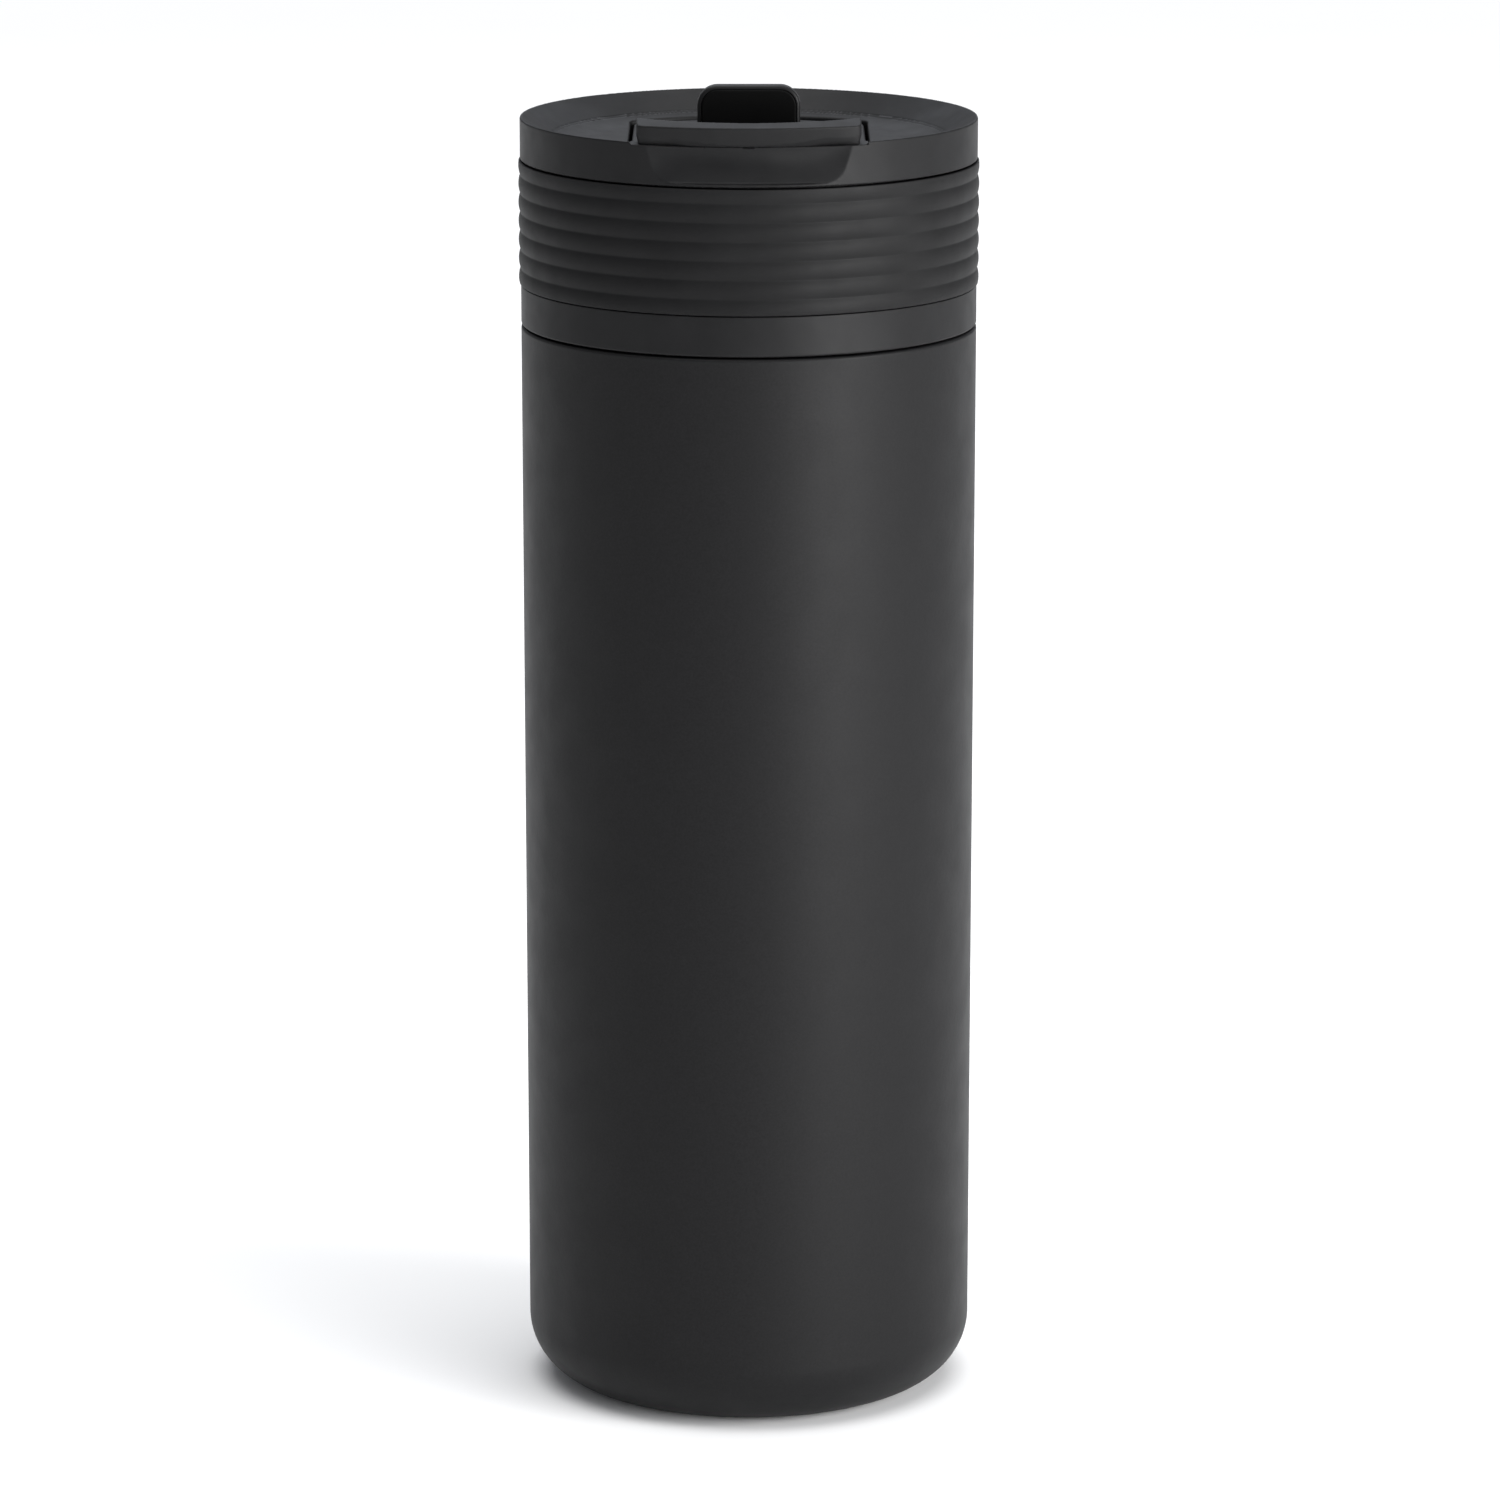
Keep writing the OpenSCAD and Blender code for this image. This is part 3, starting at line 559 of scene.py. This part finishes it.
def flap_distance(x, y, z):
    """Distance to the flap, standing open. u is towards the back from the hinge, and v is upwards."""
    u, v = y - HINGE_Y, z - HINGE_Z
    middle = (FLAP_FRONT_U + FLAP_BACK_U) / 2
    across_slab = np.abs(u - middle) - (FLAP_BACK_U - FLAP_FRONT_U) / 2
    slab = meet(flap_outline(x, v, 0, 0.5), across_slab, FLAP_ROUND)
    slab = meet(slab, line((2.1, 0.95), (FLAP_BACK_U, 1.5), u, v), 0.4)
    knuckle = meet(np.hypot(u, v) - KNUCKLE_R, abs(x) - FLAP_HALF_W, 0.25)
    body = join(slab, knuckle, 0.9)
    pocket = np.maximum(flap_outline(x, v, SEAL_MARGIN - 0.04, SEAL_V0 - 0.04), u - FLAP_FRONT_U - 0.9)
    body = cut(body, pocket, 0.12)
    return cut(body, np.hypot(u, v) - PIN_R - 0.06, 0.1)


def flip_tab():
    """Shell of the flip stopper."""
    return solid("flip_tab", flap_distance, low("stopper_flap"), high("stopper_flap"), FLAP_CELL)


def seal_distance(x, y, z):
    """Distance to the seal pad and the rib that enters the sip hole."""
    u, v = y - HINGE_Y, z - HINGE_Z
    pad = np.maximum(flap_outline(x, v, SEAL_MARGIN, SEAL_V0), u - FLAP_FRONT_U - SEAL_BACK)
    pad = meet(pad, SEAL_U - u, 0.2)
    across = np.hypot(np.maximum(abs(x) - SIP_L / 2, 0), v - SEAL_RIB_V) - SEAL_RIB_R
    rib = np.maximum(meet(across, SEAL_U - SEAL_RIB_H - u, 0.4), u - SEAL_U - 0.5)
    return join(pad, rib, 0.25)


def tab_seal():
    """Black silicone pad in the flap, with the rib that enters the sip hole."""
    return solid("tab_seal", seal_distance, low("stopper_seal"), high("stopper_seal"), FLAP_CELL)


# ---------- Materials ----------


def new_look(name, specular=0.5, **values):
    """Material with a Principled shader. Values that are the same all over go on its own sockets."""
    look = bpy.data.materials.new(name)
    look.use_nodes = True
    shader = look.node_tree.nodes["Principled BSDF"]
    shader.inputs["Specular IOR Level"].default_value = specular
    for key, value in values.items():
        shader.inputs[key.replace("_", " ")].default_value = value
    return look, look.node_tree, shader


def add(tree, kind, **values):
    """Node of that kind. Each value goes on the input of that name, and a socket is linked to it."""
    node = tree.nodes.new("ShaderNode" + kind)
    for key, value in values.items():
        socket = node.inputs[int(key[1:])] if key[0] == "_" else node.inputs[key.replace("_", " ")]
        if isinstance(value, bpy.types.NodeSocket):
            tree.links.new(value, socket)
        else:
            socket.default_value = value
    return node


def drive(tree, shader, socket, source):
    """Links a result to one of the shader's sockets."""
    tree.links.new(source, shader.inputs[socket])


def math_node(tree, operation, a, b=0.0):
    """Result of a Math node on two numbers or sockets."""
    node = add(tree, "Math", _0=a, _1=b)
    node.operation = operation
    return node.outputs[0]


def place_of(tree):
    """The point's own place on the object, in metres, which doesn't change as the piece moves."""
    return add(tree, "TexCoord").outputs["Object"]


def noise(tree, size_mm, detail=2.0, place=None, roughness=0.5):
    """Noise whose blotches are about that size."""
    place = place or place_of(tree)
    node = add(tree, "TexNoise", Vector=place, Scale=1 / (size_mm * MM), Detail=detail, Roughness=roughness)
    return node.outputs["Fac"]


def spread(tree, source, low_value, high_value, low_in=0.3, high_in=0.7):
    """Maps a share to a range of values."""
    node = add(tree, "MapRange", Value=source, From_Min=low_in, From_Max=high_in, To_Min=low_value)
    node.inputs["To Max"].default_value = high_value
    return node.outputs["Result"]


def tint(tree, share, dark, light):
    """Colour between two colours."""
    node = add(tree, "Mix")
    node.data_type = "RGBA"
    tree.links.new(share, node.inputs["Factor"])
    node.inputs["A"].default_value = (*dark, 1)
    node.inputs["B"].default_value = (*light, 1)
    return node.outputs["Result"]


def raise_by(tree, shader, height, depth_mm, strength=1.0, before=None):
    """Bump of that depth on the shader's normal, over an earlier one if there is one."""
    node = add(tree, "Bump", Strength=strength, Distance=depth_mm * MM, Height=height)
    if before:
        tree.links.new(before, node.inputs["Normal"])
    tree.links.new(node.outputs["Normal"], shader.inputs["Normal"])
    return node.outputs["Normal"]


def worn_edge(tree, amount):
    """Share of wear: high on outer edges, broken up by noise."""
    sharp = add(tree, "NewGeometry").outputs["Pointiness"]
    edge = spread(tree, sharp, 0, 1, 0.53, 0.62)
    patchy = spread(tree, noise(tree, 2.5, 3), 0.3, 1, 0.4, 0.6)
    return math_node(tree, "MULTIPLY", math_node(tree, "MULTIPLY", edge, patchy), amount)


def moulded(name, dark, light, rough, grain_mm, grain_depth, specular, wear):
    """Moulded plastic or rubber: spark-eroded grain, cloudy colour and shine, and slightly worn edges."""
    look, tree, shader = new_look(name, specular)
    cloud = spread(tree, noise(tree, 9, 3), 0, 1)
    worn = worn_edge(tree, wear)
    colour = tint(tree, math_node(tree, "MAXIMUM", cloud, worn), dark, light)
    drive(tree, shader, "Base Color", colour)
    shine = spread(tree, noise(tree, 4, 3), rough - 0.03, rough + 0.03)
    shine = math_node(tree, "SUBTRACT", shine, math_node(tree, "MULTIPLY", worn, 0.12))
    drive(tree, shader, "Roughness", shine)
    first = raise_by(tree, shader, noise(tree, grain_mm, 2), grain_depth)
    raise_by(tree, shader, noise(tree, grain_mm * 14, 1), grain_depth, 0.5, first)
    return look


def powder_coat():
    """Matt powder coat with a fine orange peel. Above the shoulder the neck is bare turned steel."""
    look, tree, shader = new_look("powder_coat", 0.17)
    place = place_of(tree)
    height = add(tree, "SeparateXYZ", Vector=place).outputs["Z"]
    bare = spread(tree, height, 0, 1, (SHOULDER_Z + 0.6) * MM, (SHOULDER_Z + 0.75) * MM)
    fleck = spread(tree, noise(tree, 0.35, 2), 0, 1)
    coat = tint(tree, fleck, (0.0055, 0.0055, 0.0059), (0.0082, 0.0082, 0.0087))
    both = add(tree, "Mix")
    both.data_type = "RGBA"
    tree.links.new(bare, both.inputs["Factor"])
    tree.links.new(coat, both.inputs["A"])
    both.inputs["B"].default_value = (0.6, 0.59, 0.57, 1)
    drive(tree, shader, "Base Color", both.outputs["Result"])
    drive(tree, shader, "Metallic", bare)
    turned = add(tree, "Mapping", Vector=place, Scale=(0.02, 0.02, 1)).outputs["Vector"]
    lines = noise(tree, 0.12, 2, turned)
    matt = spread(tree, noise(tree, 6, 3), 0.47, 0.53)
    rough = math_node(tree, "SUBTRACT", matt, math_node(tree, "MULTIPLY", bare, 0.2))
    drive(tree, shader, "Roughness", rough)
    fine_peel = math_node(tree, "MULTIPLY", noise(tree, 0.22, 2), 0.35)
    peel = math_node(tree, "ADD", noise(tree, 0.9, 1), fine_peel)
    coated = math_node(tree, "MULTIPLY", peel, math_node(tree, "SUBTRACT", 1.0, bare))
    grooves = math_node(tree, "MULTIPLY", lines, math_node(tree, "MULTIPLY", bare, 0.2))
    raise_by(tree, shader, math_node(tree, "ADD", coated, grooves), 0.012)
    return look


def turned_steel():
    """Stainless steel with fine lathe lines round the mug's axis."""
    look, tree, shader = new_look("turned_steel", 0.5, Metallic=1.0)
    parts = add(tree, "SeparateXYZ", Vector=place_of(tree))
    x, y, z = (parts.outputs[axis] for axis in "XYZ")
    square = math_node(tree, "ADD", math_node(tree, "MULTIPLY", x, x), math_node(tree, "MULTIPLY", y, y))
    radius = math_node(tree, "SQRT", square)
    angle = math_node(tree, "MULTIPLY", math_node(tree, "ARCTAN2", y, x), 0.0006)
    lines_at = add(tree, "CombineXYZ", X=angle, Y=radius, Z=z).outputs["Vector"]
    lines = noise(tree, 0.1, 3, lines_at, 0.65)
    smudge = spread(tree, noise(tree, 14, 3), 0, 0.08)
    rough = math_node(tree, "ADD", spread(tree, lines, 0.22, 0.36), smudge)
    drive(tree, shader, "Roughness", rough)
    colour = tint(tree, spread(tree, lines, 0, 1), (0.55, 0.54, 0.52), (0.66, 0.65, 0.63))
    drive(tree, shader, "Base Color", colour)
    raise_by(tree, shader, lines, 0.003)
    return look


def crinkled_foil():
    """Thin copper foil with creases."""
    look, tree, shader = new_look("crinkled_foil", 0.5, Metallic=1.0)
    crease = add(tree, "TexVoronoi", Vector=place_of(tree), Scale=1 / (7 * MM), Randomness=1.0)
    crease.feature = "DISTANCE_TO_EDGE"
    fold = spread(tree, crease.outputs["Distance"], 0, 1, 0, 0.35)
    copper = tint(tree, noise(tree, 5, 4), (0.6, 0.3, 0.19), (0.85, 0.52, 0.36))
    drive(tree, shader, "Base Color", copper)
    drive(tree, shader, "Roughness", spread(tree, noise(tree, 3, 3), 0.18, 0.34))
    raise_by(tree, shader, fold, 0.2, 0.7)
    return look


def sintered_alloy():
    """Pressed and sintered getter alloy with open pores."""
    look, tree, shader = new_look("sintered_alloy", 0.4, Metallic=0.7)
    pores = add(tree, "TexVoronoi", Vector=place_of(tree), Scale=1 / (0.25 * MM)).outputs["Distance"]
    drive(tree, shader, "Base Color", tint(tree, pores, (0.12, 0.12, 0.115), (0.34, 0.33, 0.31)))
    drive(tree, shader, "Roughness", spread(tree, pores, 0.85, 0.55, 0, 0.7))
    raise_by(tree, shader, pores, 0.05)
    return look


def fused_glass():
    """Bead of fused solder glass, with flow lines and tiny bubbles."""
    look, tree, shader = new_look("fused_glass", 0.5, Transmission_Weight=0.35, IOR=1.6)
    bubbles = add(tree, "TexVoronoi", Vector=place_of(tree), Scale=1 / (0.4 * MM)).outputs["Distance"]
    flow = tint(tree, noise(tree, 1.2, 4), (0.18, 0.3, 0.26), (0.4, 0.52, 0.46))
    drive(tree, shader, "Base Color", flow)
    drive(tree, shader, "Roughness", spread(tree, bubbles, 0.3, 0.1, 0, 0.3))
    raise_by(tree, shader, noise(tree, 1.5, 2), 0.08, 0.6)
    return look


def milky_silicone():
    """Translucent white silicone with a fine moulded grain."""
    look, tree, shader = new_look("milky_silicone", 0.4, Subsurface_Weight=0.3)
    shader.inputs["Subsurface Radius"].default_value = (0.002, 0.002, 0.002)
    milk = tint(tree, noise(tree, 6, 3), (0.52, 0.53, 0.53), (0.66, 0.67, 0.67))
    drive(tree, shader, "Base Color", milk)
    drive(tree, shader, "Roughness", spread(tree, noise(tree, 2, 3), 0.38, 0.5))
    raise_by(tree, shader, noise(tree, 0.2, 2), 0.006)
    return look


def closed_foam():
    """White closed-cell foam."""
    look, tree, shader = new_look("closed_foam", 0.2)
    cells = add(tree, "TexVoronoi", Vector=place_of(tree), Scale=1 / (0.7 * MM)).outputs["Distance"]
    drive(tree, shader, "Base Color", tint(tree, cells, (0.86, 0.86, 0.83), (0.68, 0.68, 0.65)))
    drive(tree, shader, "Roughness", spread(tree, cells, 0.8, 0.95, 0, 0.7))
    raise_by(tree, shader, cells, 0.12)
    return look


def pale_floor():
    """Plain pale floor with a barely visible mottle."""
    look, tree, shader = new_look("pale_floor", 0.0)
    mottle = tint(tree, noise(tree, 90, 3), (0.96, 0.96, 0.96), (0.975, 0.975, 0.975))
    drive(tree, shader, "Base Color", mottle)
    drive(tree, shader, "Roughness", spread(tree, noise(tree, 40, 3), 0.9, 1.0))
    return look


# ---------- Pieces ----------

looks = {
    "powder_coat": powder_coat(),
    "bare_steel": turned_steel(),
    "copper_foil": crinkled_foil(),
    "getter_alloy": sintered_alloy(),
    "solder_glass": fused_glass(),
    "lid_plastic": moulded(
        "lid_plastic", dark=(0.0056, 0.0056, 0.006), light=(0.0083, 0.0083, 0.0088),
        rough=0.5, grain_mm=0.16, grain_depth=0.006, specular=0.18, wear=0.8,
    ),
    "stopper_plastic": moulded(
        "stopper_plastic", dark=(0.0053, 0.0053, 0.0056), light=(0.008, 0.008, 0.0084),
        rough=0.45, grain_mm=0.16, grain_depth=0.005, specular=0.18, wear=0.8,
    ),
    "grip_rubber": moulded(
        "grip_rubber", dark=(0.0053, 0.0053, 0.0056), light=(0.0074, 0.0074, 0.0078),
        rough=0.56, grain_mm=0.2, grain_depth=0.007, specular=0.16, wear=0.4,
    ),
    "black_silicone": moulded(
        "black_silicone", dark=(0.0015, 0.0015, 0.0015), light=(0.0022, 0.0022, 0.0022),
        rough=0.55, grain_mm=0.22, grain_depth=0.004, specular=0.07, wear=0.2,
    ),
    "clear_silicone": milky_silicone(),
    "white_foam": closed_foam(),
}
for part in frame["record"]["subparts"]:
    cad_node = frame["nodes"][part["node"]]
    cad_node.data.materials.clear()
    cad_node.data.materials.append(looks[part["material_slot"]])

place(body_wall(), "vessel", "powder_coat", looks["powder_coat"], "outer_shell")
for number, start in enumerate((0, 180)):
    ridge = neck_ridge(f"neck_thread_{number + 1}", start)
    place(ridge, "vessel", "powder_coat", looks["powder_coat"])
place(grip_ribs(), "lid", "grip_rubber", looks["grip_rubber"], "grip_sleeve")
place(dished_ring(), "lid", "lid_plastic", looks["lid_plastic"], "lid_ring")
place(drinking_insert(), "lid", "lid_plastic", looks["lid_plastic"], "spout_insert")
place(flip_tab(), "flap", "stopper_plastic", looks["stopper_plastic"], "stopper_flap")
place(tab_seal(), "flap", "black_silicone", looks["black_silicone"], "stopper_seal")


# ---------- Floor, light and camera ----------


def make_floor():
    """Round pale floor, large enough to fill the view."""
    reach, steps = 20, 64
    turn = np.arange(steps) * 2 * math.pi / steps
    rim = [(reach * math.cos(a), reach * math.sin(a), 0) for a in turn]
    mesh = bpy.data.meshes.new("floor")
    mesh.from_pydata(rim, [], [list(range(steps))])
    floor = bpy.data.objects.new("floor", mesh)
    bpy.context.scene.collection.objects.link(floor)
    mesh.materials.append(pale_floor())


def soft_box(name, azimuth, height, distance, width, tall, power, colour=(1, 1, 1)):
    """Area light that faces the mug, in metres. Azimuth 0 is the camera's side, and 90 its right."""
    light = bpy.data.lights.new(name, "AREA")
    light.shape = "RECTANGLE"
    light.size, light.size_y = width, tall
    light.energy = power
    light.color = colour
    lamp = bpy.data.objects.new(name, light)
    angle = math.radians(azimuth)
    lamp.location = (distance * math.sin(angle), -distance * math.cos(angle), height)
    aim = Vector((0, 0, cad_high.z / 2)) - lamp.location
    lamp.rotation_euler = aim.to_track_quat("-Z", "Z").to_euler()
    bpy.context.scene.collection.objects.link(lamp)


def overhead(strength, softness):
    """Soft even light from straight above, which keeps the floor white."""
    light = bpy.data.lights.new("overhead", "SUN")
    light.energy = strength
    light.angle = math.radians(softness)
    lamp = bpy.data.objects.new("overhead", light)
    bpy.context.scene.collection.objects.link(lamp)


def room(strength, colour):
    """Plain pale surroundings."""
    world = bpy.data.worlds.new("room")
    world.use_nodes = True
    world.node_tree.nodes["Background"].inputs["Color"].default_value = (*colour, 1)
    world.node_tree.nodes["Background"].inputs["Strength"].default_value = strength
    bpy.context.scene.world = world


def make_camera():
    """Camera on the sipping side, higher than the rim, so that it looks down on the lid."""
    distance, above_rim, look_down = 1.06487, 0.13697, 12.70
    data = bpy.data.cameras.new("camera")
    data.sensor_width = 36
    data.lens = 161.08
    data.shift_x = 0.0008
    data.clip_start = 0.05
    camera = bpy.data.objects.new("camera", data)
    camera.location = (0, -distance, RIM_Z * MM + above_rim)
    camera.rotation_euler = (math.radians(90 - look_down), 0, 0)
    bpy.context.scene.collection.objects.link(camera)
    bpy.context.scene.camera = camera


make_floor()
room(strength=0.3, colour=(0.93, 0.95, 1.0))
overhead(strength=2.25, softness=60)
soft_box("key", azimuth=51, height=0.35, distance=1.1, width=0.42, tall=1.1, power=20)
soft_box(
    "back", azimuth=180, height=1.0, distance=1.2, width=1.2, tall=0.5, power=3.3, colour=(0.88, 0.92, 1.0)
)
bpy.context.scene.view_settings.view_transform = "Standard"
make_camera()
